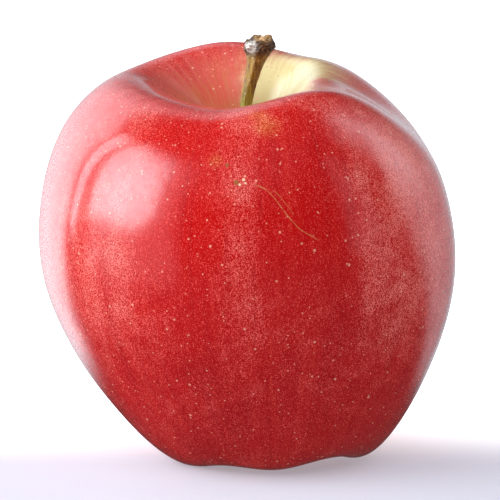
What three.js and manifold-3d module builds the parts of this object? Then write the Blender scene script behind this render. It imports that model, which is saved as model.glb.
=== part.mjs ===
// A red apple standing on its feet, in millimetres, +Z up.
// The origin is on the ground, under the middle of the fruit.
// Angles run round the fruit from its front (-Y) towards +X.

import * as THREE from 'three';
import { NURBSCurve } from 'three/addons/curves/NURBSCurve.js';
import { mergeVertices } from 'three/addons/utils/BufferGeometryUtils.js';
import Module from 'manifold-3d';

// Control points of the fruit's outline, from the stem's seat, out over the shoulder,
// down the side and in to the calyx's seat. The last four numbers say how much of the
// hollow, crown, belly and foot waves moves each point.
const OUTLINE = [
  { r: 1.6, z: 60.0, hollow: 0.0, crown: 0.0, belly: 0.0, foot: 0.0 },
  { r: 4.0, z: 60.2, hollow: 0.0, crown: 0.0, belly: 0.0, foot: 0.0 },
  { r: 8.5, z: 63.1, hollow: 0.4, crown: 0.15, belly: 0.2, foot: 0.0 },
  { r: 12.6, z: 67.4, hollow: 1.0, crown: 0.6, belly: 0.5, foot: 0.0 },
  { r: 19.1, z: 70.0, hollow: 0.5, crown: 1.0, belly: 0.8, foot: 0.0 },
  { r: 25.7, z: 71.1, hollow: 0.0, crown: 1.0, belly: 1.0, foot: 0.0 },
  { r: 34.9, z: 63.1, hollow: 0.0, crown: 0.75, belly: 1.0, foot: 0.0 },
  { r: 39.2, z: 49.9, hollow: 0.0, crown: 0.35, belly: 1.0, foot: 0.0 },
  { r: 40.2, z: 34.4, hollow: 0.0, crown: 0.1, belly: 1.0, foot: 0.05 },
  { r: 34.9, z: 19.3, hollow: 0.0, crown: 0.0, belly: 1.0, foot: 0.25 },
  { r: 27.4, z: 7.5, hollow: 0.0, crown: 0.0, belly: 0.9, foot: 0.65 },
  { r: 20.5, z: 0.4, hollow: 0.0, crown: 0.0, belly: 0.8, foot: 1.0 },
  { r: 14.0, z: 0.4, hollow: 0.0, crown: 0.0, belly: 0.6, foot: 1.0 },
  { r: 9.5, z: 5.5, hollow: 0.0, crown: 0.0, belly: 0.3, foot: 0.5 },
  { r: 5.0, z: 9.5, hollow: 0.0, crown: 0.0, belly: 0.1, foot: 0.1 },
  { r: 3.0, z: 9.8, hollow: 0.0, crown: 0.0, belly: 0.0, foot: 0.0 },
];

// Waves round the fruit: crests in one turn, height, and phase in degrees.
// The hollow waves lift the wall of the stem's hollow, which opens wide at the back and
// ends steep and close on the right. The crown waves lift the shoulder, the belly waves push
// the side out and the foot waves lift the underside, which leaves the feet.
const HOLLOW_WAVES = [[0, 2.6, 0], [1, 4.7, 86], [2, 2.7, -131], [4, 0.6, -70]];
const CROWN_WAVES = [
  [1, 3.3, -149], [2, 2.2, 33], [3, 1.0, 132], [4, 0.7, 99], [5, 0.3, -140], [6, 0.1, 71],
];
const BELLY_WAVES = [[1, 0.8, 179], [2, 0.6, 129], [3, 0.8, 15], [4, 0.9, -167], [5, 0.4, -21]];
const FOOT_WAVES = [[1, 0.4, -60], [2, 0.5, 119], [3, 0.6, 66], [4, 0.3, 7], [5, 0.9, -135]];

// The fruit's axis: where it stands at mid height, its slope, and how far it has bowed
// towards +X one mid height above and below.
const AXIS = { x: 0.3, y: 0.3, middle: 40, slope: -0.034, bow: 1.9 };

const FRUIT_ROWS = 44;
const FRUIT_SIDES = 80;

// Plain seats for the stem and the calyx, with the gap that each piece keeps to its seat.
const STEM_SEAT_DEPTH = 3.5;
const CALYX_SEAT_DEPTH = 2.2;
const GAP = 0.3;

// The stem from its root to its broken end: height, offset of its middle from the seat's
// axis, and radius.
const STEM = [
  { z: 56.8, x: 0.0, y: 0.0, r: 1.3 },
  { z: 59.5, x: 0.0, y: 0.0, r: 1.3 },
  { z: 63.0, x: -0.15, y: 0.0, r: 1.2 },
  { z: 66.5, x: -0.25, y: 0.1, r: 1.1 },
  { z: 69.2, x: 0.2, y: 0.2, r: 1.2 },
  { z: 71.6, x: 0.85, y: 0.35, r: 1.3 },
  { z: 74.0, x: 1.5, y: 0.5, r: 1.6 },
  { z: 75.4, x: 1.95, y: 0.6, r: 2.0 },
  { z: 76.6, x: 2.35, y: 0.7, r: 2.6 },
  { z: 77.7, x: 2.55, y: 0.7, r: 2.7 },
  { z: 78.6, x: 2.65, y: 0.7, r: 2.3 },
  { z: 79.2, x: 2.85, y: 0.7, r: 1.4 },
];
const STEM_ROWS = 22;
const STEM_SIDES = 18;
const KNOB_START = 74.5;
const KNOB_FULL = 77.0;
const KNOB_WAVES = [[2, 0.08, 20], [3, 0.09, 140], [5, 0.04, 60]];
const KNOB_TILT = -0.2;

// The calyx: a plug with five dried sepals, a ring of stamen stubs and a stub of the style.
const PLUG_HEIGHT = 1.6;
const PLUG_SIDES = 24;
const SEPALS = 5;
const SEPAL_LENGTHS = [5.4, 4.8, 5.6, 5.0, 4.6];
const SEPAL_WIDTH = 2.9;
const SEPAL_THICKNESS = 0.9;
const SEPAL_ROOT_RADIUS = 1.9;
const SEPAL_START_ANGLE = 12;
const SEPAL_SPLAY = 15;
const SEPAL_CURL = 62;
const SEPAL_STEPS = 9;
const SEPAL_SIDES = 8;
// Share of the full width at a share of the way to the tip
const SEPAL_SHAPE = [[0.5, 0], [1, 0.3], [0.7, 0.65], [0.18, 1]];
const STAMENS = 7;
const STAMEN_RING = 1.0;
const STAMEN_RADIUS = 0.35;
const STAMEN_LENGTH = 2.6;
const STAMEN_LEAN = 14;
const STAMEN_SIDES = 6;
const STYLE_RADIUS = 0.5;
const STYLE_LENGTH = 2.1;
const STYLE_SIDES = 8;

const SKIN = new THREE.MeshStandardMaterial({ color: 0xb4161b, roughness: 0.28, metalness: 0 });
const WOOD = new THREE.MeshStandardMaterial({ color: 0x6f4a1c, roughness: 0.75, metalness: 0 });
const DRIED_LEAF = new THREE.MeshStandardMaterial({ color: 0x55402b, roughness: 0.9, metalness: 0 });

const wasm = await Module();
wasm.setup();

// Height of a set of waves at an angle in radians
function waveHeight(waves, angle) {
  return waves.reduce((sum, [crests, height, phase]) => {
    return sum + height * Math.cos(crests * angle - THREE.MathUtils.degToRad(phase));
  }, 0);
}

// A clamped cubic spline with these control points
function spline(points) {
  const degree = 3;
  const spans = points.length - degree;
  const inner = Array.from({ length: spans + 1 }, (unused, i) => i / spans);
  const knots = [...Array(degree).fill(0), ...inner, ...Array(degree).fill(1)];
  return new NURBSCurve(degree, knots, points);
}

// The fruit's axis at a height
function axisAt(z) {
  const rise = z - AXIS.middle;
  const x = AXIS.x + AXIS.slope * rise + AXIS.bow * (rise / AXIS.middle) ** 2;
  const y = AXIS.y + AXIS.slope * rise;
  return new THREE.Vector3(x, y, z);
}

// A body turned round +Z from a list of rows, each with a radius and a height, whose
// vertices are then placed one by one. The rows run from the body's top to its bottom, and
// it is closed where the first and last of them have no radius.
function turned(rowsDown, sides, place) {
  const rows = [...rowsDown].reverse();
  const profile = rows.map((row) => new THREE.Vector2(row.r, row.z));
  const geometry = new THREE.LatheGeometry(profile, sides);
  const position = geometry.attributes.position;
  for (let i = 0; i < position.count; i += 1) {
    const row = rows[i % rows.length];
    const angle = (Math.floor(i / rows.length) % sides) * 2 * Math.PI / sides;
    const point = place(row, angle);
    position.setXYZ(i, point.x, point.y, point.z);
  }
  geometry.deleteAttribute('normal');
  geometry.deleteAttribute('uv');
  return mergeVertices(geometry);
}

// A point at a radius and an angle from a middle
function around(middle, radius, angle) {
  const x = middle.x + radius * Math.sin(angle);
  const y = middle.y - radius * Math.cos(angle);
  return new THREE.Vector3(x, y, middle.z);
}

function closedRows(rows) {
  const first = rows[0];
  const last = rows[rows.length - 1];
  return [{ ...first, r: 0 }, ...rows, { ...last, r: 0 }];
}

function mesh(name, geometry, material) {
  const solid = new THREE.Mesh(geometry, material);
  solid.name = name;
  return solid;
}

// Rows of the fruit's outside, with the share of each set of waves that reaches them
function skinRows() {
  const outline = spline(OUTLINE.map((p) => new THREE.Vector4(p.r, p.z, p.hollow, 1)));
  const shares = spline(OUTLINE.map((p) => new THREE.Vector4(p.crown, p.belly, p.foot, 1)));
  return Array.from({ length: FRUIT_ROWS }, (unused, i) => {
    const t = i / (FRUIT_ROWS - 1);
    const point = outline.getPoint(t);
    const share = shares.getPoint(t);
    const { x: crown, y: belly, z: foot } = share;
    return { r: point.x, z: point.y, hollow: point.z, crown, belly, foot };
  });
}

// The feet are cut off level with the ground, which leaves a small flat spot under each
function placeSkin(row, angle) {
  const above = row.hollow * waveHeight(HOLLOW_WAVES, angle) + row.crown * waveHeight(CROWN_WAVES, angle);
  const z = row.z + above + row.foot * waveHeight(FOOT_WAVES, angle);
  const radius = row.r === 0 ? 0 : row.r + row.belly * waveHeight(BELLY_WAVES, angle);
  const point = around(axisAt(z), radius, angle);
  point.z = Math.max(z, 0);
  return point;
}

function makeFruit() {
  const skin = skinRows();
  const top = skin[0];
  const bottom = skin[skin.length - 1];
  const stemSeat = { ...top, z: top.z - STEM_SEAT_DEPTH };
  const calyxSeat = { ...bottom, z: bottom.z + CALYX_SEAT_DEPTH };
  const rows = closedRows([stemSeat, ...skin, calyxSeat]);
  return mesh('fruit', turned(rows, FRUIT_SIDES, placeSkin), SKIN);
}

// The stem's rows from the broken end down to the root
function stemRows() {
  const middle = new THREE.CatmullRomCurve3(STEM.map((p) => new THREE.Vector3(p.x, p.y, p.z)));
  const radius = new THREE.CatmullRomCurve3(STEM.map((p) => new THREE.Vector3(p.r, 0, p.z)));
  return Array.from({ length: STEM_ROWS }, (unused, i) => {
    const t = 1 - i / (STEM_ROWS - 1);
    const point = middle.getPoint(t);
    return { r: radius.getPoint(t).x, z: point.z, x: point.x, y: point.y };
  });
}

// The broken end is a lopsided knob, square to the leaning stem
function placeStem(row, angle) {
  const seat = axisAt(OUTLINE[0].z);
  const knob = THREE.MathUtils.smoothstep(row.z, KNOB_START, KNOB_FULL);
  const radius = row.r * (1 + knob * waveHeight(KNOB_WAVES, angle));
  const middle = new THREE.Vector3(seat.x + row.x, seat.y + row.y, row.z);
  const point = around(middle, radius, angle);
  point.z += knob * KNOB_TILT * (point.x - middle.x);
  return point;
}

function makeStem() {
  return mesh('stem', turned(closedRows(stemRows()), STEM_SIDES, placeStem), WOOD);
}

function toManifold(geometry) {
  const vertProperties = new Float32Array(geometry.attributes.position.array);
  const triVerts = new Uint32Array(dropFlatFaces(geometry.index.array));
  return new wasm.Manifold(new wasm.Mesh({ numProp: 3, vertProperties, triVerts }));
}

// Turning a point on the axis leaves faces with two corners in one place
function dropFlatFaces(index) {
  const kept = [];
  for (let i = 0; i < index.length; i += 3) {
    const [a, b, c] = index.slice(i, i + 3);
    if (a !== b && b !== c && c !== a) kept.push(a, b, c);
  }
  return kept;
}

function fromManifold(solid) {
  const { vertProperties, triVerts } = solid.getMesh();
  const geometry = new THREE.BufferGeometry();
  geometry.setAttribute('position', new THREE.BufferAttribute(vertProperties, 3));
  geometry.setIndex(new THREE.BufferAttribute(triVerts, 1));
  return geometry;
}

// A plain round peg between two heights
function peg(radius, high, low, sides) {
  const rows = closedRows([{ r: radius, z: high }, { r: radius, z: low }]);
  const place = (row, angle) => around(new THREE.Vector3(0, 0, row.z), row.r, angle);
  return turned(rows, sides, place);
}

// One dried sepal: a pointed leaf, lens-shaped across, whose middle line leaves the plug
// downwards and curls outwards. It lies in the XZ plane, out along +X.
function sepal(length) {
  const widths = new THREE.SplineCurve(SEPAL_SHAPE.map(([w, at]) => new THREE.Vector2(w, at)));
  const last = SEPAL_STEPS - 1;
  const line = [new THREE.Vector2(SEPAL_ROOT_RADIUS, 0)];
  for (let i = 1; i < SEPAL_STEPS; i += 1) {
    const turn = THREE.MathUtils.degToRad(SEPAL_SPLAY + SEPAL_CURL * (i / last) ** 1.5);
    const step = new THREE.Vector2(Math.sin(turn), -Math.cos(turn)).multiplyScalar(length / last);
    line.push(line[i - 1].clone().add(step));
  }
  const rows = line.map((point, i) => {
    const before = line[Math.max(i - 1, 0)];
    const after = line[Math.min(i + 1, last)];
    const along = after.clone().sub(before).normalize();
    return { r: widths.getPoint(i / last).x, z: 0, middle: point, along };
  });
  const place = (row, angle) => {
    const across = row.r * SEPAL_WIDTH / 2 * Math.sin(angle);
    const out = Math.sqrt(row.r) * SEPAL_THICKNESS / 2 * Math.cos(angle);
    const x = row.middle.x - row.along.y * out;
    const z = row.middle.y + row.along.x * out;
    return row.r === 0
      ? new THREE.Vector3(row.middle.x, 0, row.middle.y)
      : new THREE.Vector3(x, across, z);
  };
  return turned(closedRows(rows), SEPAL_SIDES, place);
}

// The calyx hangs in its seat, so it is built downwards from the plug's lower face
function makeCalyx() {
  const seat = OUTLINE[OUTLINE.length - 1];
  let solid = toManifold(peg(seat.r - GAP, PLUG_HEIGHT, 0, PLUG_SIDES));
  for (let i = 0; i < SEPALS; i += 1) {
    const turn = SEPAL_START_ANGLE + i * 360 / SEPALS;
    const leaf = toManifold(sepal(SEPAL_LENGTHS[i])).translate([0, 0, GAP]);
    solid = solid.add(leaf.rotate([0, 0, turn]));
  }
  for (let i = 0; i < STAMENS; i += 1) {
    const stub = toManifold(peg(STAMEN_RADIUS, GAP, -STAMEN_LENGTH, STAMEN_SIDES));
    const leaning = stub.rotate([0, -STAMEN_LEAN, 0]).translate([STAMEN_RING, 0, 0]);
    solid = solid.add(leaning.rotate([0, 0, i * 360 / STAMENS]));
  }
  const style = toManifold(peg(STYLE_RADIUS, GAP, -STYLE_LENGTH, STYLE_SIDES));
  const calyx = mesh('calyx', fromManifold(solid.add(style)), DRIED_LEAF);
  const top = seat.z + CALYX_SEAT_DEPTH - GAP;
  calyx.position.copy(axisAt(top)).setZ(top - PLUG_HEIGHT);
  return calyx;
}

const apple = new THREE.Group();
apple.add(makeFruit(), makeStem(), makeCalyx());

export default apple;
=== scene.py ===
import math

import bpy
import numpy as np
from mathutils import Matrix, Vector, noise


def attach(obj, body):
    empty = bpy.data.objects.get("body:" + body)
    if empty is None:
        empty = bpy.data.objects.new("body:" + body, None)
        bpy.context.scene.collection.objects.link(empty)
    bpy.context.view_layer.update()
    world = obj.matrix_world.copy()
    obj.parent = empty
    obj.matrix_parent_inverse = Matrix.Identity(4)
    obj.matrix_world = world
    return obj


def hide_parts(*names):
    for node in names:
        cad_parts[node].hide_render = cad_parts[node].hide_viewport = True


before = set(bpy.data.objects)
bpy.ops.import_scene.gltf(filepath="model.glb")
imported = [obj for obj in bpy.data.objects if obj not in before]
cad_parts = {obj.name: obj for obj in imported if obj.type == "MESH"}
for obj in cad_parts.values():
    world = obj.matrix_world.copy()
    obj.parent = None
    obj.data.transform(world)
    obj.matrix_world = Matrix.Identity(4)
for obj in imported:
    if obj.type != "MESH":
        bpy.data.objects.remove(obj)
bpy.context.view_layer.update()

MM = 0.001

# Outline of the fruit from the stem's seat over the shoulder to the calyx's seat: radius,
# height, and how much of the hollow, crown, belly and foot waves moves each control point
OUTLINE = np.array([
    [1.6, 60.0, 0.0, 0.0, 0.0, 0.0],
    [4.0, 60.2, 0.0, 0.0, 0.0, 0.0],
    [8.5, 63.1, 0.4, 0.15, 0.2, 0.0],
    [12.6, 67.4, 1.0, 0.6, 0.5, 0.0],
    [19.1, 70.0, 0.5, 1.0, 0.8, 0.0],
    [25.7, 71.1, 0.0, 1.0, 1.0, 0.0],
    [34.9, 63.1, 0.0, 0.75, 1.0, 0.0],
    [39.2, 49.9, 0.0, 0.35, 1.0, 0.0],
    [40.2, 34.4, 0.0, 0.1, 1.0, 0.05],
    [34.9, 19.3, 0.0, 0.0, 1.0, 0.25],
    [27.4, 7.5, 0.0, 0.0, 0.9, 0.65],
    [20.5, 0.4, 0.0, 0.0, 0.8, 1.0],
    [14.0, 0.4, 0.0, 0.0, 0.6, 1.0],
    [9.5, 5.5, 0.0, 0.0, 0.3, 0.5],
    [5.0, 9.5, 0.0, 0.0, 0.1, 0.1],
    [3.0, 9.8, 0.0, 0.0, 0.0, 0.0],
])

# Waves round the fruit: crests in one turn, height, and phase in degrees
HOLLOW_WAVES = [(0, 2.6, 0), (1, 4.7, 86), (2, 2.7, -131), (4, 0.6, -70)]
CROWN_WAVES = [(1, 3.3, -149), (2, 2.2, 33), (3, 1.0, 132), (4, 0.7, 99), (5, 0.3, -140), (6, 0.1, 71)]
BELLY_WAVES = [(1, 0.8, 179), (2, 0.6, 129), (3, 0.8, 15), (4, 0.9, -167), (5, 0.4, -21)]
FOOT_WAVES = [(1, 0.4, -60), (2, 0.5, 119), (3, 0.6, 66), (4, 0.3, 7), (5, 0.9, -135)]

# The fruit's axis: place at mid height, slope, and bow towards +X
AXIS_X, AXIS_Y, AXIS_MIDDLE, AXIS_SLOPE, AXIS_BOW = 0.3, 0.3, 40.0, -0.034, 1.9

FRUIT_ROWS = 250
FRUIT_SIDES = 370

# The stem from its root to its broken end: height, offset from the seat's axis, radius
STEM = np.array([
    [56.8, 0.0, 0.0, 1.3],
    [59.5, 0.0, 0.0, 1.3],
    [63.0, -0.15, 0.0, 1.2],
    [66.5, -0.25, 0.1, 1.1],
    [69.2, 0.2, 0.2, 1.2],
    [71.6, 0.85, 0.35, 1.3],
    [74.0, 1.5, 0.5, 1.6],
    [75.4, 1.95, 0.6, 2.0],
    [76.6, 2.35, 0.7, 2.6],
    [77.7, 2.55, 0.7, 2.7],
    [78.6, 2.65, 0.7, 2.3],
    [79.2, 2.85, 0.7, 1.4],
])
STEM_ROWS = 150
STEM_SIDES = 96


def wave_height(waves, angle):
    return sum(h * np.cos(n * angle - math.radians(phase)) for n, h, phase in waves)


def axis_at(z):
    rise = z - AXIS_MIDDLE
    x = AXIS_X + AXIS_SLOPE * rise + AXIS_BOW * (rise / AXIS_MIDDLE) ** 2
    return x, AXIS_Y + AXIS_SLOPE * rise


def spline(points, t):
    """Places on a clamped cubic spline with these control points."""
    degree = 3
    inner = np.linspace(0, 1, len(points) - degree + 1)
    knots = np.concatenate([np.zeros(degree), inner, np.ones(degree)])
    t = np.clip(t, 0, 1 - 1e-12)
    basis = [(t >= low) & (t < high) for low, high in zip(knots[:-1], knots[1:])]
    basis = [b.astype(float) for b in basis]
    for d in range(1, degree + 1):
        basis = [
            share(t - knots[i], knots[i + d] - knots[i]) * basis[i]
            + share(knots[i + d + 1] - t, knots[i + d + 1] - knots[i + 1]) * basis[i + 1]
            for i in range(len(basis) - 1)
        ]
    return np.stack(basis, axis=1) @ points


def share(part, whole):
    return part / whole if whole > 0 else 0 * part


def through(points, t):
    """Places on a smooth curve through these points, with t from 0 to 1."""
    place = np.clip(t, 0, 1) * (len(points) - 1)
    i = np.minimum(place.astype(int), len(points) - 2)
    f = (place - i)[:, None]
    last = len(points) - 1
    before, start = points[np.maximum(i - 1, 0)], points[i]
    end, after = points[i + 1], points[np.minimum(i + 2, last)]
    return 0.5 * (
        2 * start + (end - before) * f
        + (2 * before - 5 * start + 4 * end - after) * f ** 2
        + (3 * start - before - 3 * end + after) * f ** 3
    )


def smooth(value, low, high):
    t = np.clip((value - low) / (high - low), 0, 1)
    return t * t * (3 - 2 * t)


def grid_faces(rows, sides, start):
    """Quads between rings of points, and a fan at each end, for rings listed downwards."""
    i, j = np.meshgrid(np.arange(rows - 1), np.arange(sides), indexing="ij")
    across = (j + 1) % sides
    quads = [i * sides + j, (i + 1) * sides + j, (i + 1) * sides + across, i * sides + across]
    faces = (np.stack(quads, axis=-1).reshape(-1, 4) + start).tolist()
    top, bottom = rows * sides + start, rows * sides + start + 1
    low = (rows - 1) * sides + start
    for k in range(sides):
        after = (k + 1) % sides
        faces.append((top, start + k, start + after))
        faces.append((bottom, low + after, low + k))
    return faces


def body_object(name, pieces, node):
    """Closed bodies, each from an array of rings of points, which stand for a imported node."""
    points, faces = [], []
    for rings in pieces:
        rows, sides = rings.shape[:2]
        faces += grid_faces(rows, sides, len(points))
        points += (rings_field(rings) * MM).tolist()
    mesh = bpy.data.meshes.new(name)
    mesh.from_pydata(points, [], faces)
    mesh.shade_smooth()
    made = bpy.data.objects.new(name, mesh)
    bpy.context.collection.objects.link(made)
    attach(made, "root")
    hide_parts(node)
    return made


def add_vector(made, name, values):
    """Keeps one vector for each point, with the two end points last."""
    field = made.data.attributes.new(name, "FLOAT_VECTOR", "POINT")
    field.data.foreach_set("vector", values.astype(np.float32).ravel())


def rings_field(values):
    """A field given on rings of points, with the mean of each end ring for the end points."""
    ends = [values[0].mean(axis=0), values[-1].mean(axis=0)]
    return np.concatenate([values.reshape(-1, 3), ends])


def add_map(made, rows, sides):
    """A plain map of the rings: round the body across, and along it upwards."""
    layer = made.data.uv_layers.new(name="OFBake")
    for face in made.data.polygons:
        corners = [made.data.loops[k].vertex_index for k in face.loop_indices]
        columns = [c % sides for c in corners if c < rows * sides]
        wraps = max(columns) - min(columns) > 1
        for k, c in zip(face.loop_indices, corners):
            if c < rows * sides:
                row, column = divmod(c, sides)
                u = (sides if wraps and column == 0 else column) / sides
            else:
                row = 0 if c == rows * sides else rows - 1
                u = (columns[0] + 0.5) / sides
            v = 1 - (row + 1) / (rows + 1)
            if c >= rows * sides:
                v = 1.0 if row == 0 else 0.0
            layer.data[k].uv = (u, v)


# Camera and stage

CAMERA_ELEVATION = 10.0
CAMERA_DISTANCE = 500.0
CAMERA_TARGET = np.array([0.6, -0.1, 39.0])
PHOTO_SIDE = 500
FOCAL_LENGTH_PIXELS = 2665
SENSOR_WIDTH = 36.0


def make_camera():
    data = bpy.data.cameras.new("camera")
    data.sensor_width = SENSOR_WIDTH
    data.lens = FOCAL_LENGTH_PIXELS / PHOTO_SIDE * SENSOR_WIDTH
    camera = bpy.data.objects.new("camera", data)
    bpy.context.collection.objects.link(camera)
    rise = math.radians(CAMERA_ELEVATION)
    back = np.array([0.0, -math.cos(rise), math.sin(rise)])
    camera.location = (CAMERA_TARGET + CAMERA_DISTANCE * back) * MM
    camera.rotation_euler = Vector(-back).to_track_quat("-Z", "Y").to_euler()
    bpy.context.scene.camera = camera


# Node graphs

class Graph:
    """The nodes of a new material, or of a tree at hand."""

    def __init__(self, name="", tree=None):
        if tree:
            self.tree = tree
            self.tree.nodes.clear()
            return
        self.material = bpy.data.materials.new(name)
        self.material.use_nodes = True
        self.tree = self.material.node_tree
        self.shader = self.tree.nodes["Principled BSDF"]

    def add(self, kind, inputs=(), **settings):
        """A new node, with its settings and with values or other nodes' outputs as inputs."""
        node = self.tree.nodes.new(kind)
        for key, value in settings.items():
            setattr(node, key, value)
        for socket, value in dict(inputs).items():
            self.put(value, node.inputs[socket])
        return node

    def put(self, value, socket):
        if isinstance(value, bpy.types.NodeSocket):
            self.tree.links.new(value, socket)
        elif isinstance(value, tuple) and len(value) == 3 and socket.type == "RGBA":
            socket.default_value = (*value, 1.0)
        else:
            socket.default_value = value

    def math(self, operation, a, b=0.0):
        return self.add("ShaderNodeMath", {0: a, 1: b}, operation=operation).outputs[0]

    def vector(self, operation, a, b):
        return self.add("ShaderNodeVectorMath", {0: a, 1: b}, operation=operation).outputs[0]

    def distance(self, a, b):
        return self.add("ShaderNodeVectorMath", {0: a, 1: b}, operation="DISTANCE").outputs["Value"]

    def dot(self, a, b):
        return self.add("ShaderNodeVectorMath", {0: a, 1: b}, operation="DOT_PRODUCT").outputs["Value"]

    def ramp(self, value, low, high, start=0.0, end=1.0):
        """A smooth step from start to end as the value goes from low to high."""
        inputs = {"Value": value, "From Min": low, "From Max": high, "To Min": start, "To Max": end}
        return self.add("ShaderNodeMapRange", inputs, interpolation_type="SMOOTHSTEP").outputs[0]

    def mix(self, factor, a, b):
        """Colour a where the factor is 0, and b where it is 1."""
        node = self.add("ShaderNodeMix", data_type="RGBA")
        for socket, value in (("Factor_Float", factor), ("A_Color", a), ("B_Color", b)):
            self.put(value, next(s for s in node.inputs if s.identifier == socket))
        return next(s for s in node.outputs if s.identifier == "Result_Color")

    def noise(self, where, scale, detail, roughness):
        inputs = {"Vector": where, "Scale": scale, "Detail": detail, "Roughness": roughness}
        return self.add("ShaderNodeTexNoise", inputs).outputs[0]

    def cells(self, where, scale):
        return self.add("ShaderNodeTexVoronoi", {"Vector": where, "Scale": scale})

    def split(self, vector):
        return self.add("ShaderNodeSeparateXYZ", {0: vector}).outputs

    def place(self):
        """The point's place in the object, in millimetres."""
        where = self.add("ShaderNodeTexCoord").outputs["Object"]
        per_mm = 1 / MM
        return self.vector("MULTIPLY", where, (per_mm, per_mm, per_mm))

    def field(self, name):
        return self.add("ShaderNodeAttribute", attribute_name=name).outputs["Vector"]

    def bump(self, height, strength, distance, normal=None):
        inputs = {"Height": height, "Strength": strength, "Distance": distance * MM}
        node = self.add("ShaderNodeBump", inputs)
        if normal:
            self.put(normal, node.inputs["Normal"])
        return node.outputs[0]

    def finish(self, made, sockets):
        for socket, value in sockets.items():
            self.put(value, self.shader.inputs[socket])
        made.data.materials.append(self.material)


# The fruit

UNDULATION_DEPTH = 0.12
UNDULATION_SIZE = 9.0
STEM_COLLAR = [(1.22, 60.45), (1.3, 60.3), (1.45, 60.08)]
CALYX_COLLAR = [(2.6, 9.95)]

# Two fine scratches on the front, each as places across and up the fruit
LONG_SCRATCH = [(1.3, 56.9), (3.5, 55.9), (5.0, 54.3), (7.0, 51.6), (9.2, 49.1), (12.8, 46.9)]
SHORT_SCRATCH = [(4.2, 56.0), (5.4, 55.2), (6.9, 53.4), (8.6, 51.2)]
SCRATCH_LEAN = 0.7
BEHIND = 50.0

# Each scratch across the fruit: where it starts, is full, fades and ends
LONG_REACH = (0.8, 2.2, 11.4, 12.9)
SHORT_REACH = (4.2, 5.2, 7.4, 8.6)

# Half the width of each scratch: up to where it is full, and where it ends
LONG_WIDTH = (0.03, 0.13)
SHORT_WIDTH = (0.02, 0.11)
SHORT_STRENGTH = 0.4

# Colours of the skin between and on its cells, from below upwards; the red that brightens from below
# upwards is painted light and shade, lighter where light falls from above
RED_LOW_PAINTED_SHADE, RED_PATCH, RED_HIGH_PAINTED_LIGHT = (0.36, 0.002, 0.005), (0.44, 0.003, 0.005), (0.54, 0.003, 0.003)
STREAK_DARK, STREAK_WARM = (0.27, 0.002, 0.006), (0.72, 0.04, 0.02)
CELL_RED, CELL_PALE, CELL_WARM = (0.80, 0.03, 0.025), (0.98, 0.24, 0.19), (0.95, 0.45, 0.13)
GROUND_WARM = (0.62, 0.12, 0.03)
PORE, SCRATCH = (0.86, 0.42, 0.27), (0.62, 0.27, 0.10)

# Colours of the stem's hollow and of the calyx's basin
HOLLOW_LEFT, HOLLOW_RIGHT = (0.62, 0.15, 0.07), (0.84, 0.72, 0.34)
HOLLOW_RAY, HOLLOW_RIM = (0.66, 0.07, 0.05), (0.78, 0.22, 0.19)
HOLLOW_SPECK, HOLLOW_BOTTOM = (0.20, 0.12, 0.03), (0.34, 0.20, 0.04)
BASIN = (0.56, 0.42, 0.10)

# Two sizes of pores: how many there are in a millimetre, and their largest radius
FINE_PORES, COARSE_PORES = (0.8, 0.18), (0.5, 0.29)
WAX_IOR = 1.34
WAX_COAT_ROUGHNESS = 0.08

# Healed marks beside the scratches: place, size and colour
CREAM, OLIVE = (0.80, 0.66, 0.42), (0.36, 0.12, 0.03)
MARKS = [
    ((-1.8, -35.4, 57.1), 0.55, OLIVE),
    ((-1.2, -35.6, 56.8), 0.30, CREAM),
    ((-0.5, -35.3, 57.6), 0.34, CREAM),
    ((-0.2, -35.5, 57.0), 0.26, CREAM),
    ((-3.4, -33.7, 59.9), 0.40, OLIVE),
]

# Patches where the yellow ground shows through the red: place, radius and strength
WARM_PATCHES = [
    ((3.6, -29.2, 66.2), 3.6, 0.55),
    ((-5.5, -32.9, 60.6), 2.0, 0.5),
    ((2.0, -26.5, 67.9), 2.6, 0.4),
]

# Upright bands with more pale cells (+) or deeper red (-), partly streaks of the skin and partly painted
# sheen, as on the right shoulder: azimuth, half width, lowest and highest share of the way down from the
# stem, strength
PALE_BANDS_AND_SHEEN = [
    (-1, 11, 0.22, 0.42, 0.018),
    (-19, 18, 0.26, 0.58, -0.05),
    (16, 18, 0.26, 0.54, -0.05),
    (48, 22, 0.26, 0.62, 0.03),
    (-46, 34, 0.40, 0.58, 0.02),
    (80, 26, 0.30, 0.80, 0.02),
    # broad pale band over the right shoulder: painted sheen
    (95, 70, 0.12, 0.34, 0.05),
]


def skin_profile():
    rows = spline(OUTLINE, np.linspace(0, 1, FRUIT_ROWS))
    above = [[r, z, 0, 0, 0, 0] for r, z in STEM_COLLAR]
    below = [[r, z, 0, 0, 0, 0] for r, z in CALYX_COLLAR]
    return np.concatenate([above, rows, below])


def skin_rings():
    """The fruit's points, and along each row how far it is from the stem, from 0 to 1."""
    rows = skin_profile()
    angle = np.arange(FRUIT_SIDES) * 2 * math.pi / FRUIT_SIDES
    r, z, hollow, crown, belly, foot = (rows[:, k, None] for k in range(6))
    z = z + hollow * wave_height(HOLLOW_WAVES, angle) + crown * wave_height(CROWN_WAVES, angle)
    z = z + foot * wave_height(FOOT_WAVES, angle)
    r = r + belly * wave_height(BELLY_WAVES, angle)
    middle_x, middle_y = axis_at(z)
    rings = np.stack([middle_x + r * np.sin(angle), middle_y - r * np.cos(angle), z], axis=-1)
    step = np.linalg.norm(np.diff(rows[:, :2], axis=0), axis=1)
    along = np.concatenate([[0], np.cumsum(step)]) / step.sum()
    return rings, angle, along


def undulate(rings):
    """Presses the skin in a little, in soft patches, and cuts the feet off level."""
    middle = np.array([*axis_at(AXIS_MIDDLE), AXIS_MIDDLE])
    outward = rings - middle
    outward /= np.linalg.norm(outward, axis=-1, keepdims=True)
    depth = 0.5 + 0.5 * field_noise(rings / UNDULATION_SIZE)
    rings = rings - outward * (UNDULATION_DEPTH * np.clip(depth, 0, 1))[..., None]
    rings[..., 2] = np.maximum(rings[..., 2], 0)
    return rings


def field_noise(rings):
    """Smooth noise at each point of an array of rings."""
    return np.array([[noise.noise(Vector(point)) for point in ring] for ring in rings])


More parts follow.
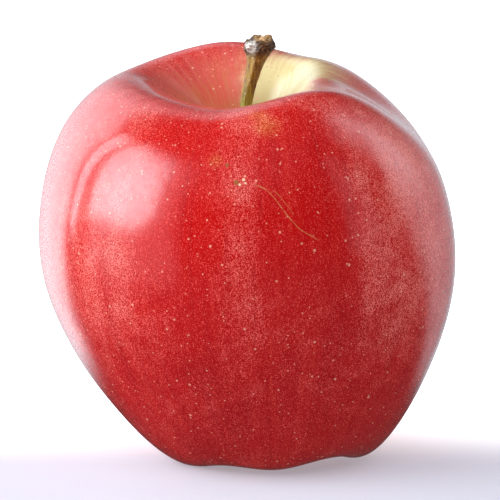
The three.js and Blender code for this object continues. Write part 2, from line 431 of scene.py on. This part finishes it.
def scratch_field(rings):
    """Signed distance across each scratch, far off at the back, and the place along them."""
    x, y, z = (rings[..., k] for k in range(3))
    behind = np.where(y > 0, BEHIND, 0.0)
    across = [
        (z - np.interp(x, *np.array(line).T)) * SCRATCH_LEAN + behind
        for line in (LONG_SCRATCH, SHORT_SCRATCH)
    ]
    return np.stack([*across, x], axis=-1)


def make_fruit():
    rings, angle, along = skin_rings()
    rings = undulate(rings)
    made = body_object("apple_skin", [rings], "fruit")
    spread = np.ones(rings.shape[:2])
    around = [np.cos(angle) * spread, np.sin(angle) * spread, along[:, None] * spread]
    add_vector(made, "around", rings_field(np.stack(around, axis=-1)))
    add_vector(made, "scratch", rings_field(scratch_field(rings)))
    add_map(made, rings.shape[0], rings.shape[1])
    paint_skin(made)


def stretched(g, around, across, along):
    """Coordinates for streaks: across sets how fine they are, and along how long."""
    return g.vector("MULTIPLY", around, (across, across, along))


def dots(g, where, scale, radius):
    """Round marks scattered over the skin, up to this radius in millimetres."""
    cells = g.cells(where, scale)
    luck = g.split(cells.outputs["Color"])[0]
    edge = g.math("MULTIPLY", g.math("ADD", g.math("MULTIPLY", luck, 0.75), 0.35), radius * scale)
    inside = g.math("DIVIDE", cells.outputs["Distance"], edge)
    return g.ramp(inside, 1.0, 0.55)


def pale_bands_and_sheen(g, around):
    """How much denser or thinner the pale cells are, from the upright bands, which are partly painted
    sheen.
    """
    along = g.split(around)[2]
    total = 0.0
    for azimuth, half_width, high, low, strength in PALE_BANDS_AND_SHEEN:
        a, w = math.radians(azimuth), math.radians(half_width)
        facing = g.dot(around, (math.cos(a), math.sin(a), 0.0))
        band = g.ramp(facing, math.cos(w), 1.0, 0.0, strength)
        upper = g.ramp(along, high - 0.06, high + 0.06)
        lower = g.ramp(along, low + 0.1, low - 0.1)
        band = g.math("MULTIPLY", band, g.math("MULTIPLY", upper, lower))
        total = g.math("ADD", band, total)
    return total


def skin_ground(g, where, around):
    """The red between the speckles, in soft patches: deeper below and brighter and warmer above, which is
    painted light and shade.
    """
    along = g.split(around)[2]
    patches = g.noise(where, 0.05, 4.0, 0.6)
    red = g.mix(g.ramp(patches, 0.38, 0.62), RED_LOW_PAINTED_SHADE, RED_PATCH)
    # brighter red towards the top and deeper red towards the bottom: painted light and shade
    red = g.mix(g.ramp(along, 0.72, 0.38), red, RED_HIGH_PAINTED_LIGHT)
    streaks = g.noise(stretched(g, around, 26.0, 4.0), 1.0, 4.0, 0.65)
    red = g.mix(g.ramp(streaks, 0.52, 0.25, 0.0, 0.4), red, STREAK_DARK)
    return g.mix(g.ramp(streaks, 0.5, 0.8, 0.0, 0.3), red, STREAK_WARM)


def speckle(g, where, around):
    """How much of the skin's pale cells shows, and how pale they are: fine grain, in patches."""
    along = g.split(around)[2]
    round_grain = g.noise(where, 5.4, 1.0, 0.6)
    long_grain = g.noise(stretched(g, around, 200.0, 170.0), 1.0, 1.0, 0.6)
    grain = g.math("ADD", g.math("MULTIPLY", round_grain, 0.75), g.math("MULTIPLY", long_grain, 0.25))
    patches = g.noise(where, 0.17, 4.0, 0.65)
    bands = g.noise(stretched(g, around, 9.0, 3.0), 1.0, 3.0, 0.6)
    density = g.math("ADD", g.math("MULTIPLY", patches, 0.15), g.math("MULTIPLY", bands, 0.07))
    density = g.math("ADD", density, pale_bands_and_sheen(g, around))
    density = g.math("ADD", density, g.ramp(along, 0.5, 0.72, 0.0, -0.035))
    paleness = g.ramp(density, 0.08, 0.17, 0.25, 1.0)
    return g.ramp(g.math("ADD", grain, density), 0.59, 0.71), paleness


def hollow_ground(g, where, around):
    """Yellow-green ground of the stem's hollow with red rays, olive at the bottom."""
    front, side, along = g.split(around)
    behind = g.math("MULTIPLY", front, -0.65)
    to_right = g.math("ADD", g.math("MULTIPLY", side, 0.75), behind)
    blotches = g.noise(where, 0.35, 4.0, 0.65)
    to_right = g.math("ADD", to_right, g.math("MULTIPLY", blotches, 0.35))
    pale = g.mix(g.ramp(to_right, 0.65, 0.95), HOLLOW_LEFT, HOLLOW_RIGHT)
    rays = g.noise(stretched(g, around, 26.0, 24.0), 1.0, 5.0, 0.75)
    reach = g.ramp(to_right, 0.6, 0.95, 0.95, 0.0)
    reach = g.math("MULTIPLY", reach, g.ramp(along, 0.03, 0.12))
    pale = g.mix(g.math("MULTIPLY", g.ramp(rays, 0.42, 0.62), reach), pale, HOLLOW_RAY)
    rim = g.ramp(g.math("ADD", along, g.math("MULTIPLY", rays, 0.14)), 0.17, 0.27, 0.0, 0.75)
    pale = g.mix(rim, pale, HOLLOW_RIM)
    specks = dots(g, where, 0.9, 0.3)
    pale = g.mix(g.math("MULTIPLY", specks, g.ramp(rays, 0.5, 0.7)), pale, HOLLOW_SPECK)
    return g.mix(g.ramp(along, 0.10, 0.03), pale, HOLLOW_BOTTOM)


def scratch_line(g, offset, place, reach, width):
    """How strongly a scratch shows, fading at both ends and at its edges."""
    start, full, fading, end = reach
    inner, outer = width
    length = g.math("MULTIPLY", g.ramp(place, start, full), g.ramp(place, end, fading))
    return g.math("MULTIPLY", g.ramp(g.math("ABSOLUTE", offset), outer, inner), length)


def add_marks(g, where, colour):
    """The scratches, and the healed marks beside them."""
    long, short, place = g.split(g.field("scratch"))
    wear = g.noise(where, 1.6, 3.0, 0.7)
    line = scratch_line(g, long, place, LONG_REACH, LONG_WIDTH)
    line = g.math("MULTIPLY", line, g.ramp(wear, 0.3, 0.6, 0.15, 0.75))
    thin = scratch_line(g, short, place, SHORT_REACH, SHORT_WIDTH)
    thin = g.math("MULTIPLY", thin, SHORT_STRENGTH)
    colour = g.mix(g.math("MAXIMUM", line, thin), colour, SCRATCH)
    for middle, size, mark in MARKS:
        ragged = g.math("ADD", g.distance(where, middle), g.math("MULTIPLY", wear, size))
        colour = g.mix(g.ramp(ragged, size * 1.5, size * 1.1), colour, mark)
    return colour


def red_skin(g, where, around):
    """The red ground with its pale cells, warmer in the patches where the ground shows."""
    cells, paleness = speckle(g, where, around)
    ground = skin_ground(g, where, around)
    warm = 0.0
    for middle, radius, strength in WARM_PATCHES:
        inside = g.ramp(g.distance(where, middle), radius, 0.0, 0.0, strength)
        warm = g.math("ADD", inside, warm)
    cell = g.mix(warm, g.mix(paleness, CELL_RED, CELL_PALE), CELL_WARM)
    ground = g.mix(g.math("MULTIPLY", warm, 0.4), ground, GROUND_WARM)
    return g.mix(g.math("MULTIPLY", cells, 0.9), ground, cell)


def skin_colour(g, where, around):
    """The red skin, the ground of the hollow and basin, the pores and the marks."""
    along = g.split(around)[2]
    ragged = g.noise(stretched(g, around, 12.0, 4.0), 1.0, 4.0, 0.65)
    colour = red_skin(g, where, around)
    hollow = g.ramp(g.math("ADD", along, g.math("MULTIPLY", ragged, 0.12)), 0.27, 0.16)
    colour = g.mix(hollow, colour, hollow_ground(g, where, around))
    basin = g.ramp(g.math("ADD", along, g.math("MULTIPLY", ragged, 0.08)), 0.94, 1.01)
    colour = g.mix(basin, colour, BASIN)
    pores = g.math("MAXIMUM", dots(g, where, *COARSE_PORES), dots(g, where, *FINE_PORES))
    colour = g.mix(g.math("MULTIPLY", pores, 0.8), colour, PORE)
    return add_marks(g, where, colour)


def paint_skin(made):
    g = Graph("skin")
    where = g.place()
    colour = skin_colour(g, where, g.field("around"))
    relief = g.noise(where, 6.0, 1.0, 0.6)
    dents = g.noise(where, 0.45, 2.0, 0.5)
    gloss = g.noise(where, 5.0, 1.0, 0.6)
    g.finish(made, {
        "Base Color": colour,
        "Roughness": g.ramp(gloss, 0.35, 0.65, 0.1, 0.24),
        "IOR": WAX_IOR,
        "Coat Weight": g.ramp(gloss, 0.58, 0.40, 0.05, 1.0),
        "Coat Roughness": WAX_COAT_ROUGHNESS,
        "Normal": g.bump(relief, 0.35, 0.04, g.bump(dents, 0.5, 0.06)),
    })


# The stem

KNOB_START = 74.5
KNOB_FULL = 77.0
BARK_RIDGES = [(3, 0.05, 40, 0.25), (5, 0.035, 130, -0.2), (8, 0.025, 10, 0.15)]
STEM_TOP = 79.45
STEM_CAP_ROWS = 6

# Bark: how fine its grain is across and up the shaft, and how deep
BARK_GRAIN = np.array([2.2, 2.2, 0.7])
BARK_DEPTH = 0.07

# Lumps of the knob: how fine, where the noise starts, and share of the depth
LUMPS = [(0.75, 7.3, 1.0), (1.9, 0.0, 0.5), (4.5, 0.0, 0.35)]
LUMP_DEPTH = 0.42
RAGGED_START, RAGGED_FULL, RAGGED_DEPTH = 77.8, 79.2, 0.9

# Colours of the shaft and of the knob's crust; the gold is the bark's lit colour, a painted highlight
BARK_DARK, BARK_LIGHT, BARK_PAINTED_HIGHLIGHT = (0.14, 0.045, 0.006), (0.42, 0.24, 0.015), (0.60, 0.40, 0.06)
BARK_GREEN, BARK_SPECK = (0.36, 0.34, 0.03), (0.75, 0.62, 0.35)
CRUST_DARK, CRUST_BROWN = (0.018, 0.008, 0.005), (0.22, 0.10, 0.03)

# Bare wood on the knob, on its top and on its front edge: place, radius and colour
BROKEN_WOOD = [
    ((3.0, -0.7, 79.2), 1.7, (0.58, 0.32, 0.11)),
    ((0.4, -1.6, 77.5), 1.5, (0.78, 0.72, 0.62)),
]


def stem_rings():
    rows = through(STEM, np.linspace(1, 0, STEM_ROWS))
    cap = rows[0] * np.ones((STEM_CAP_ROWS, 1))
    cap[:, 3] *= np.linspace(0.15, 0.95, STEM_CAP_ROWS)
    rows = np.concatenate([cap, rows])
    seat_x, seat_y = axis_at(OUTLINE[0, 1])
    angle = np.arange(STEM_SIDES) * 2 * math.pi / STEM_SIDES
    z, x, y, r = (rows[:, k, None] for k in range(4))
    ridges = sum(
        height * np.cos(n * angle - math.radians(phase) - twist * z)
        for n, height, phase, twist in BARK_RIDGES
    )
    r = r * (1 + ridges)
    flat = z * np.ones_like(angle)
    rings = np.stack([seat_x + x + r * np.sin(angle), seat_y + y - r * np.cos(angle), flat], axis=-1)
    middle = np.stack([seat_x + x + 0 * angle, seat_y + y + 0 * angle, flat], axis=-1)
    return rings, middle


def roughen(rings, middle):
    """Fine bark along the shaft, and lumps and pits over the broken knob."""
    knob = smooth(rings[..., 2], KNOB_START, KNOB_FULL)
    outward = rings - middle
    outward /= np.linalg.norm(outward, axis=-1, keepdims=True)
    bark = field_noise(rings * BARK_GRAIN)
    lumps = sum(part * field_noise(rings * fine + start) for fine, start, part in LUMPS)
    rings = rings + outward * (BARK_DEPTH * bark * (1 - knob) + LUMP_DEPTH * lumps * knob)[..., None]
    top = smooth(rings[..., 2], RAGGED_START, RAGGED_FULL)
    rings[..., 2] += top * (RAGGED_DEPTH * field_noise(rings * 1.1 + 3.1) - 0.25)
    rings[..., 2] = np.minimum(rings[..., 2], STEM_TOP)
    return rings


def bark_colour(g, where, stripes, fine):
    """Striped bark, greener towards the root, with pale specks and gold patches of painted highlight."""
    height = g.split(where)[2]
    colour = g.mix(g.ramp(stripes, 0.36, 0.62), BARK_DARK, BARK_LIGHT)
    # gold patches in the colour of the lit bark, scattered by noise: painted highlight
    colour = g.mix(g.ramp(fine, 0.5, 0.75, 0.0, 0.6), colour, BARK_PAINTED_HIGHLIGHT)
    green = g.math("MULTIPLY", g.ramp(height, 71.5, 66.0), g.ramp(stripes, 0.4, 0.6, 0.4, 1.0))
    colour = g.mix(green, colour, BARK_GREEN)
    specks = dots(g, where, 0.9, 0.22)
    return g.mix(g.math("MULTIPLY", specks, 0.7), colour, BARK_SPECK)


def crust_colour(g, where, fine):
    """The dark crust of the knob, with bare wood where it broke."""
    crust = g.mix(g.ramp(fine, 0.42, 0.62), CRUST_DARK, CRUST_BROWN)
    for middle, radius, tint in BROKEN_WOOD:
        ragged = g.math("ADD", g.distance(where, middle), g.math("MULTIPLY", fine, 2.4))
        patch = g.ramp(ragged, radius + 1.5, radius + 0.8)
        patch = g.math("MULTIPLY", patch, g.ramp(fine, 0.36, 0.52))
        crust = g.mix(patch, crust, tint)
    return crust


def make_stem():
    rings, middle = stem_rings()
    made = body_object("stem_wood", [roughen(rings, middle)], "stem")
    g = Graph("wood")
    where = g.place()
    lengthwise = g.vector("MULTIPLY", where, (1.6, 1.6, 0.28))
    stripes = g.noise(lengthwise, 1.0, 4.0, 0.65)
    fine = g.noise(where, 2.6, 4.0, 0.7)
    height = g.math("ADD", g.split(where)[2], g.math("MULTIPLY", fine, 1.6))
    knob = g.ramp(height, 75.6, 77.2)
    colour = g.mix(knob, bark_colour(g, where, stripes, fine), crust_colour(g, where, fine))
    relief = g.math("ADD", g.math("MULTIPLY", stripes, 0.5), fine)
    g.finish(made, {
        "Base Color": colour,
        "Roughness": g.ramp(fine, 0.3, 0.7, 0.42, 0.75),
        "Normal": g.bump(relief, 0.6, 0.25),
    })


# The calyx

CALYX_TOP = 11.7
PLUG_HEIGHT = 1.6

# Outline of the plug from its top down its side and in: radius and height
PLUG_OUTLINE = np.array([[2.45, 1.6], [2.7, 1.4], [2.7, 0.25], [2.45, 0.05], [1.7, 0.12], [0.8, 0.3]])
PLUG_ROWS = 18
PLUG_SIDES = 64
SEPAL_LENGTHS = [5.4, 4.8, 5.6, 5.0, 4.6]
SEPAL_WIDTH = 2.9
SEPAL_ROOT_RADIUS = 1.9
SEPAL_START_ANGLE = 12.0
SEPAL_SPLAY = 15.0
SEPAL_CURL = 62.0
SEPAL_STEPS = 28
SEPAL_SIDES = 20
SEPAL_HALF_WIDTHS = ([0.0, 0.3, 0.65, 1.0], [0.5, 1.0, 0.7, 0.12])
STAMENS = 9
STAMEN_RING = 1.05
STAMEN_LENGTH = 2.5
STAMEN_RADIUS = 0.16
STYLE_LENGTH = 2.0
STYLE_RADIUS = 0.3
THREAD_ROWS = 14
THREAD_SIDES = 10

DRY_DARK, DRY_LIGHT, DOWN = (0.07, 0.035, 0.015), (0.30, 0.20, 0.09), (0.52, 0.45, 0.33)


def turned_about(points, degrees):
    a = math.radians(degrees)
    x, y, z = (points[..., k] for k in range(3))
    return np.stack([x * math.cos(a) - y * math.sin(a), x * math.sin(a) + y * math.cos(a), z], axis=-1)


def sepal(length, seed):
    """A dried pointed leaf that leaves the plug downwards and curls outwards along +X."""
    share_out = np.linspace(0, 1, SEPAL_STEPS)
    turn = np.radians(SEPAL_SPLAY + SEPAL_CURL * share_out ** 1.5)
    step = length / (SEPAL_STEPS - 1)
    x = SEPAL_ROOT_RADIUS + np.cumsum(step * np.sin(turn))
    z = -np.cumsum(step * np.cos(turn))
    angle = np.arange(SEPAL_SIDES) * 2 * math.pi / SEPAL_SIDES
    half = np.interp(share_out, *SEPAL_HALF_WIDTHS)[:, None] * SEPAL_WIDTH / 2
    across = half * np.sin(angle)
    keel = 0.12 * np.abs(across)
    thick = (0.16 + 0.2 * half / SEPAL_WIDTH) * np.cos(angle) + keel
    points = np.stack([
        x[:, None] + np.cos(turn)[:, None] * thick,
        across,
        z[:, None] + np.sin(turn)[:, None] * thick,
    ], axis=-1)
    crumple = field_noise(points * 0.9 + seed * 5.1) * 0.35 * share_out[:, None]
    points[..., 2] += crumple
    points[..., 1] += 0.25 * field_noise(points * 0.6 - seed * 3.7) * share_out[:, None]
    return points


def thread(radius, length, lean, out, knob):
    """A thin dried thread that hangs down, with a small swelling at its tip."""
    rows = np.linspace(0, 1, THREAD_ROWS)
    angle = np.arange(THREAD_SIDES) * 2 * math.pi / THREAD_SIDES
    r = radius * (1 - 0.3 * rows + knob * np.exp(-((rows - 0.9) / 0.07) ** 2))[:, None]
    reach = length * rows
    x = out + reach * math.sin(math.radians(lean)) + 0.25 * np.sin(rows * 4.0)
    z = 0.3 - reach * math.cos(math.radians(lean))
    return np.stack([x[:, None] + r * np.cos(angle), -r * np.sin(angle), z[:, None] + 0 * angle], axis=-1)


def plug_rings():
    rows = through(PLUG_OUTLINE, np.linspace(0, 1, PLUG_ROWS))
    angle = np.arange(PLUG_SIDES) * 2 * math.pi / PLUG_SIDES
    r, z = rows[:, 0, None], rows[:, 1, None]
    return np.stack([r * np.cos(angle), -r * np.sin(angle), z + 0 * angle], axis=-1)


def calyx_pieces():
    """The plug, the sepals round it, and the stamens round the style."""
    pieces = [plug_rings()]
    for i, length in enumerate(SEPAL_LENGTHS):
        turn = SEPAL_START_ANGLE + i * 360 / len(SEPAL_LENGTHS)
        pieces.append(turned_about(sepal(length, i + 1), turn) + np.array([0, 0, 0.35]))
    for i in range(STAMENS):
        length, lean = STAMEN_LENGTH * (0.8 + 0.2 * (i % 3)), 14 + 5 * (i % 2)
        stamen = thread(STAMEN_RADIUS, length, lean, STAMEN_RING, 0.9)
        pieces.append(turned_about(stamen, i * 360 / STAMENS))
    pieces.append(thread(STYLE_RADIUS, STYLE_LENGTH, 0, 0.0, 0.4))
    return pieces


def make_calyx():
    x, y = axis_at(CALYX_TOP)
    place = np.array([x, y, CALYX_TOP - PLUG_HEIGHT])
    made = body_object("calyx_dried", [piece + place for piece in calyx_pieces()], "calyx")
    g = Graph("dried_leaf")
    where = g.place()
    fine = g.noise(where, 1.6, 4.0, 0.65)
    hairs = g.noise(where, 6.0, 2.0, 0.6)
    colour = g.mix(g.ramp(fine, 0.35, 0.65), DRY_DARK, DRY_LIGHT)
    colour = g.mix(g.ramp(hairs, 0.5, 0.75, 0.0, 0.6), colour, DOWN)
    g.finish(made, {
        "Base Color": colour,
        "Roughness": g.ramp(fine, 0.3, 0.7, 0.75, 0.95),
        "Normal": g.bump(hairs, 0.5, 0.12),
    })


# Light and stage

FLOOR_SIDE = 6000.0
# Floor colours and glow from near the apple to far behind it: the glow is painted light that lifts the
# floor's shade, and it grows whiter towards the back
FLOOR_NEAR, FLOOR_FAR_PAINTED_LIGHT = (0.50, 0.50, 0.55), (0.9, 0.9, 0.9)
GLOW_NEAR, GLOW_FAR = (0.30, 0.30, 0.33), (1.0, 1.0, 1.0)
DAYLIGHT = (0.93, 0.96, 1.05)

# Soft panels: azimuth, elevation, width and height in degrees, and strength
PANEL_DISTANCE = 1200.0
PANELS = {
    "window_light": (-77, 25, 37, 42, 5.4),
    "left_light": (-130, 12, 60, 60, 2.2),
    "right_light": (118, 22, 50, 60, 1.15),
    "fill": (-15, 48, 60, 40, 2.5),
    "top_light": (0, 78, 60, 50, 0.7),
}


def make_floor():
    half = FLOOR_SIDE / 2 * MM
    mesh = bpy.data.meshes.new("floor")
    corners = [(-half, -half, 0), (half, -half, 0), (half, half, 0), (-half, half, 0)]
    mesh.from_pydata(corners, [], [(0, 1, 2, 3)])
    floor = bpy.data.objects.new("floor", mesh)
    bpy.context.collection.objects.link(floor)
    g = Graph("floor")
    depth = g.split(g.place())[1]
    # the floor gets whiter and glows more towards the back: painted light
    far = g.ramp(depth, -12.0, 34.0)
    g.put(g.mix(far, FLOOR_NEAR, FLOOR_FAR_PAINTED_LIGHT), g.shader.inputs["Base Color"])
    g.put(g.mix(far, GLOW_NEAR, GLOW_FAR), g.shader.inputs["Emission Color"])
    g.shader.inputs["Emission Strength"].default_value = 1.0
    g.shader.inputs["Roughness"].default_value = 0.8
    mirror_room(g)
    floor.data.materials.append(g.material)


def mirror_room(g):
    """Lets the skin mirror the room through the floor, but mirrors a dark sheet of painted shade under and
    beside it.
    """
    mirrored = g.add("ShaderNodeLightPath").outputs["Is Glossy Ray"]
    beside = g.ramp(g.distance(g.place(), (0.0, 0.0, 0.0)), 38.0, 70.0)
    room = g.add("ShaderNodeBsdfTransparent").outputs[0]
    # dim sheet seen only in reflections near the apple: painted shade
    dark = g.add("ShaderNodeEmission", {"Color": (0.5, 0.4, 0.4), "Strength": 0.15}).outputs[0]
    below = g.add("ShaderNodeMixShader", {0: beside, 1: dark, 2: room}).outputs[0]
    either = g.add("ShaderNodeMixShader", {0: mirrored, 1: g.shader.outputs[0], 2: below})
    g.put(either.outputs[0], g.tree.nodes["Material Output"].inputs["Surface"])


def direction(azimuth, elevation):
    """The way from the apple at an azimuth from the front towards +X, and an elevation."""
    a, e = math.radians(azimuth), math.radians(elevation)
    return np.array([math.sin(a) * math.cos(e), -math.cos(a) * math.cos(e), math.sin(e)])


def panel(name, azimuth, elevation, width, height, strength):
    """A soft panel, facing the apple, whose width and height are angles in degrees."""
    data = bpy.data.lights.new(name, "AREA")
    data.shape = "RECTANGLE"
    data.size = 2 * PANEL_DISTANCE * math.tan(math.radians(width) / 2) * MM
    data.size_y = 2 * PANEL_DISTANCE * math.tan(math.radians(height) / 2) * MM
    data.energy = strength * math.pi * data.size * data.size_y
    data.color = DAYLIGHT
    lamp = bpy.data.objects.new(name, data)
    bpy.context.collection.objects.link(lamp)
    place = CAMERA_TARGET + PANEL_DISTANCE * direction(azimuth, elevation)
    lamp.location = place * MM
    lamp.rotation_euler = Vector(CAMERA_TARGET - place).to_track_quat("-Z", "Y").to_euler()
    lamp.visible_camera = False
    lamp.visible_glossy = False


def make_lights():
    for name, setting in PANELS.items():
        panel(name, *setting)


# Bright parts of the room, mirrored in the skin alone: strength, and corners as azimuth,
# elevation and softness in degrees of the edge up to the next corner
ROOM_DARK = 0.05
ROOM_COLOUR = (0.86, 1.0, 1.08)
BACKDROP_COLOUR, BACKDROP_STRENGTH = (1.0, 1.0, 1.0), 1.2
ROOM_PARTS = [
    (6.6, [(-99, 3, 3), (-66, 4, 3), (-55, 14, 3), (-56, 28, 3), (-60, 47, 9), (-75, 53, 9), (-99, 49, 2)]),
    (2.6, [(-90, 6, 6), (-60, 10, 5), (-58, 24, 6), (-62, 36, 10), (-86, 36, 8)]),
    (1.0, [(-99, -16, 9), (-42, -16, 7), (-42, 46, 8), (-99, 48, 3)]),
    (6.1, [(-114, -3, 5), (-108.5, -3, 1.2), (-103, 46, 3), (-114, 47, 1.5)]),
    (2.7, [(-118, 41, 2), (-118, -10, 6), (-128, -24, 13), (-148, -36, 30), (-148, 52, 4)]),
    (0.6, [(-174, 45, 8), (-148, 52, 4), (-118, 41, 2), (-118, -10, 6), (-128, -24, 12), (-174, -34, 14)]),
    (0.35, [(140, -30, 6), (186, -30, 12), (186, 12, 8), (140, 12, 10)]),
    (0.35, [(160, -30, 6), (186, -30, 10), (186, 8, 8), (160, 8, 8)]),
    (0.9, [(64, 55, 4), (93, 0, 5), (127, -27, 6), (136, -30, 20), (136, 60, 8)]),
    (1.75, [(92, 12, 16), (119, 12, 9), (119, 65, 6), (92, 65, 10)]),
    (0.6, [(44, 43, 3), (54, 43, 3), (64, 22, 3), (71, -3, 3), (53, -3, 3), (46, 20, 3)]),
]


def bright_part(g, way, corners):
    """How far a direction lies inside a part of the room with these corners."""
    places = [direction(azimuth, elevation) for azimuth, elevation, softness in corners]
    middle = sum(places)
    inside = 1.0
    for (_, _, softness), here, after in zip(corners, places, places[1:] + places[:1]):
        across = np.cross(here, after)
        across *= np.sign(across @ middle) / np.linalg.norm(across)
        soft = math.sin(math.radians(softness))
        inside = g.math("MULTIPLY", g.ramp(g.dot(way, tuple(across)), -soft, soft), inside)
    return inside


def make_world():
    world = bpy.data.worlds.new("room")
    world.use_nodes = True
    world.cycles_visibility.diffuse = False
    bpy.context.scene.world = world
    g = Graph(tree=world.node_tree)
    way = g.add("ShaderNodeTexCoord").outputs["Generated"]
    strength = ROOM_DARK
    for glow, corners in ROOM_PARTS:
        part = g.math("MULTIPLY", bright_part(g, way, corners), glow)
        strength = g.math("ADD", part, strength)
    room = g.add("ShaderNodeBackground", {"Color": ROOM_COLOUR, "Strength": strength})
    white = g.add("ShaderNodeBackground", {"Color": BACKDROP_COLOUR, "Strength": BACKDROP_STRENGTH})
    seen = g.add("ShaderNodeLightPath").outputs["Is Camera Ray"]
    mixed = g.add("ShaderNodeMixShader", {0: seen, 1: room.outputs[0], 2: white.outputs[0]})
    g.add("ShaderNodeOutputWorld", {0: mixed.outputs[0]})


bpy.context.scene.view_settings.view_transform = "Standard"
make_camera()
make_world()
make_lights()
make_floor()
make_fruit()
make_stem()
make_calyx()
